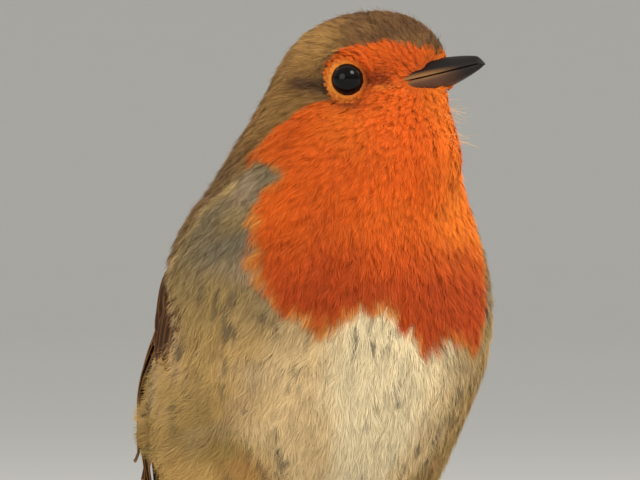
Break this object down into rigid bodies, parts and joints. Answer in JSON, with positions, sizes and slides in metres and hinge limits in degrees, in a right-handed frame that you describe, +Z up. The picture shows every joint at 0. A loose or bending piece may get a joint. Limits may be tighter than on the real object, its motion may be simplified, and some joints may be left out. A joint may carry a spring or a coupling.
{
  "type": "robin",
  "caption": "Life-size European robin standing upright with a fluffed coat, orange face and breast, head turned to its left; a still museum-style model.",
  "frame": {"origin": "on the floor that both feet stand on, below the middle of the bird's box", "axes": "+Z up along the upright body, -Y the way the breast faces, +X the bird's left side"},
  "size_m": [0.0532, 0.111, 0.1172],
  "materials": {
    "coat_orange": "soft matt orange contour feathers of the face, throat and breast, olive-brown on the crown",
    "coat_olive": "soft matt olive-brown contour feathers of the back, wing coverts and rump",
    "coat_buff": "soft matt feathers, orange breast, buff-olive flanks and cream belly",
    "flight_feathers": "smooth dark brown vanes with paler rufous outer edges",
    "bill_horn": "dark brown horn with a low polish, paler along the cutting edges",
    "claw_horn": "dark brown horn with a low polish",
    "eye_dark": "wet, glossy black-brown",
    "leg_skin": "thin brown scaled skin with a dull sheen"
  },
  "bodies": {
    "root": {"head": "coat_orange", "neck": "coat_orange", "rump": "coat_olive", "wing_coverts_right": "coat_olive", "wing_coverts_left": "coat_olive", "trunk": "coat_buff", "thigh_right": "coat_buff", "thigh_left": "coat_buff", "tail": "flight_feathers", "wing_tertials_right": "flight_feathers", "wing_secondaries_right": "flight_feathers", "wing_primaries_right": "flight_feathers", "wing_tertials_left": "flight_feathers", "wing_secondaries_left": "flight_feathers", "wing_primaries_left": "flight_feathers", "bill_upper": "bill_horn", "bill_lower": "bill_horn", "claw_inner_right": "claw_horn", "claw_middle_right": "claw_horn", "claw_outer_right": "claw_horn", "claw_hind_right": "claw_horn", "claw_inner_left": "claw_horn", "claw_middle_left": "claw_horn", "claw_outer_left": "claw_horn", "claw_hind_left": "claw_horn", "eye_right": "eye_dark", "eye_left": "eye_dark", "shank_right": "leg_skin", "foot_right": "leg_skin", "shank_left": "leg_skin", "foot_left": "leg_skin"}
  },
  "joints": []
}
